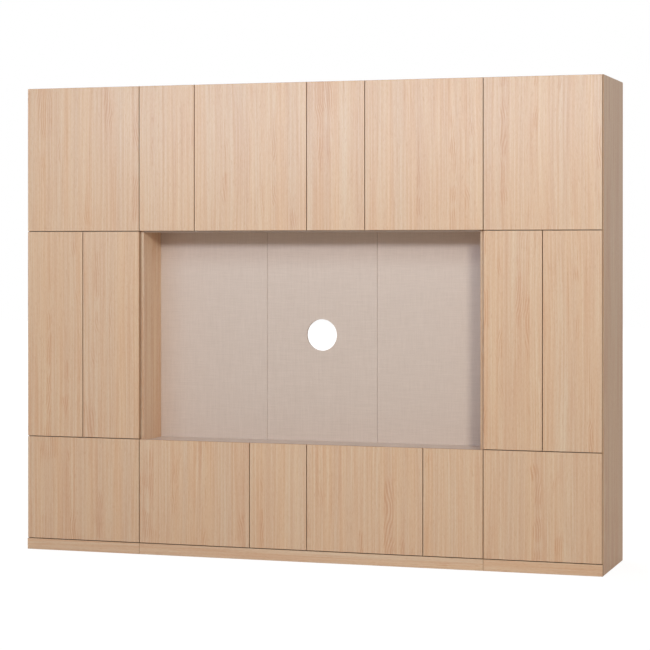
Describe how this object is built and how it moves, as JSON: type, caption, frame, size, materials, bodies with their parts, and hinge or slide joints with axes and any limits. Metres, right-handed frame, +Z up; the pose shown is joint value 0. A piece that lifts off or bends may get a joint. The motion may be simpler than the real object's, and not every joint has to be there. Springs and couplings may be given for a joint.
{
  "type": "entertainment center",
  "caption": "Wall-wide media storage wall in pale oak: handleless hinged doors on two towers, a top bridge and a base, round an open television niche with a round cable hole.",
  "frame": {"origin": "middle of the bottom of the whole bounding box, on the floor", "axes": "+X to the right seen from the front, -Y out of the door fronts towards the viewer, +Z up"},
  "size_m": [3, 0.55, 2.38],
  "materials": {
    "pale_oak": "matt pale oak decor with fine straight grain on melamine faced board",
    "beige_laminate": "matt beige linen-textured laminate on board",
    "rear_sheet": "matt light thin fibreboard"
  },
  "bodies": {
    "carcass": {"base_back": "rear_sheet", "base_bottom": "beige_laminate", "base_divider_1": "beige_laminate", "base_divider_2": "beige_laminate", "base_divider_3": "beige_laminate", "bridge_back": "rear_sheet", "bridge_divider_1": "beige_laminate", "bridge_divider_2": "beige_laminate", "bridge_divider_3": "beige_laminate", "bridge_shelf_1": "beige_laminate", "bridge_shelf_2": "beige_laminate", "bridge_shelf_3": "beige_laminate", "bridge_shelf_4": "beige_laminate", "bridge_top": "beige_laminate", "centre_side_left": "pale_oak", "centre_side_right": "pale_oak", "left_end_panel": "pale_oak", "left_tower_back": "rear_sheet", "left_tower_bottom": "beige_laminate", "left_tower_lower_deck": "beige_laminate", "left_tower_middle_shelf_1": "beige_laminate", "left_tower_middle_shelf_2": "beige_laminate", "left_tower_side": "pale_oak", "left_tower_top": "beige_laminate", "left_tower_top_shelf": "beige_laminate", "left_tower_upper_deck": "beige_laminate", "niche_back_left": "beige_laminate", "niche_back_middle": "beige_laminate", "niche_back_right": "beige_laminate", "niche_ceiling": "beige_laminate", "niche_floor": "beige_laminate", "plinth_left": "pale_oak", "plinth_middle": "pale_oak", "plinth_right": "pale_oak", "right_end_panel": "pale_oak", "right_tower_back": "rear_sheet", "right_tower_bottom": "beige_laminate", "right_tower_lower_deck": "beige_laminate", "right_tower_middle_shelf_1": "beige_laminate", "right_tower_middle_shelf_2": "beige_laminate", "right_tower_side": "pale_oak", "right_tower_top": "beige_laminate", "right_tower_top_shelf": "beige_laminate", "right_tower_upper_deck": "beige_laminate"},
    "top_door_1": {"top_door_1": "pale_oak"},
    "top_door_2": {"top_door_2": "pale_oak"},
    "top_door_3": {"top_door_3": "pale_oak"},
    "top_door_4": {"top_door_4": "pale_oak"},
    "top_door_5": {"top_door_5": "pale_oak"},
    "top_door_6": {"top_door_6": "pale_oak"},
    "bottom_door_1": {"bottom_door_1": "pale_oak"},
    "bottom_door_2": {"bottom_door_2": "pale_oak"},
    "bottom_door_3": {"bottom_door_3": "pale_oak"},
    "bottom_door_4": {"bottom_door_4": "pale_oak"},
    "bottom_door_5": {"bottom_door_5": "pale_oak"},
    "bottom_door_6": {"bottom_door_6": "pale_oak"},
    "middle_door_1": {"middle_door_1": "pale_oak"},
    "middle_door_2": {"middle_door_2": "pale_oak"},
    "middle_door_3": {"middle_door_3": "pale_oak"},
    "middle_door_4": {"middle_door_4": "pale_oak"}
  },
  "joints": [
    {"name": "top_door_1_hinge", "type": "hinge", "parent": "carcass", "child": "top_door_1", "pos_m": [-1.4965, -0.275, 2.01065], "axis": [0, 0, -1], "range_deg": [0, 105]},
    {"name": "top_door_2_hinge", "type": "hinge", "parent": "carcass", "child": "top_door_2", "pos_m": [-0.8722, -0.275, 2.01065], "axis": [0, 0, -1], "range_deg": [0, 105]},
    {"name": "top_door_3_hinge", "type": "hinge", "parent": "carcass", "child": "top_door_3", "pos_m": [-0.5716, -0.275, 2.01065], "axis": [0, 0, -1], "range_deg": [0, 105]},
    {"name": "top_door_4_hinge", "type": "hinge", "parent": "carcass", "child": "top_door_4", "pos_m": [0.3214, -0.275, 2.01065], "axis": [0, 0, 1], "range_deg": [0, 105]},
    {"name": "top_door_5_hinge", "type": "hinge", "parent": "carcass", "child": "top_door_5", "pos_m": [0.9174, -0.275, 2.01065], "axis": [0, 0, 1], "range_deg": [0, 105]},
    {"name": "top_door_6_hinge", "type": "hinge", "parent": "carcass", "child": "top_door_6", "pos_m": [1.4965, -0.275, 2.01065], "axis": [0, 0, 1], "range_deg": [0, 105]},
    {"name": "bottom_door_1_hinge", "type": "hinge", "parent": "carcass", "child": "bottom_door_1", "pos_m": [-1.4965, -0.275, 0.3213], "axis": [0, 0, -1], "range_deg": [0, 105]},
    {"name": "bottom_door_2_hinge", "type": "hinge", "parent": "carcass", "child": "bottom_door_2", "pos_m": [-0.8722, -0.275, 0.3213], "axis": [0, 0, -1], "range_deg": [0, 105]},
    {"name": "bottom_door_3_hinge", "type": "hinge", "parent": "carcass", "child": "bottom_door_3", "pos_m": [-0.2762, -0.275, 0.3213], "axis": [0, 0, -1], "range_deg": [0, 105]},
    {"name": "bottom_door_4_hinge", "type": "hinge", "parent": "carcass", "child": "bottom_door_4", "pos_m": [0.6168, -0.275, 0.3213], "axis": [0, 0, 1], "range_deg": [0, 105]},
    {"name": "bottom_door_5_hinge", "type": "hinge", "parent": "carcass", "child": "bottom_door_5", "pos_m": [0.9174, -0.275, 0.3213], "axis": [0, 0, 1], "range_deg": [0, 105]},
    {"name": "bottom_door_6_hinge", "type": "hinge", "parent": "carcass", "child": "bottom_door_6", "pos_m": [1.4965, -0.275, 0.3213], "axis": [0, 0, 1], "range_deg": [0, 105]},
    {"name": "middle_door_1_hinge", "type": "hinge", "parent": "carcass", "child": "middle_door_1", "pos_m": [-1.4965, -0.275, 1.11325], "axis": [0, 0, -1], "range_deg": [0, 105]},
    {"name": "middle_door_2_hinge", "type": "hinge", "parent": "carcass", "child": "middle_door_2", "pos_m": [-0.8758, -0.275, 1.11325], "axis": [0, 0, 1], "range_deg": [0, 105]},
    {"name": "middle_door_3_hinge", "type": "hinge", "parent": "carcass", "child": "middle_door_3", "pos_m": [0.921, -0.275, 1.11325], "axis": [0, 0, -1], "range_deg": [0, 105]},
    {"name": "middle_door_4_hinge", "type": "hinge", "parent": "carcass", "child": "middle_door_4", "pos_m": [1.4965, -0.275, 1.11325], "axis": [0, 0, 1], "range_deg": [0, 105]}
  ]
}
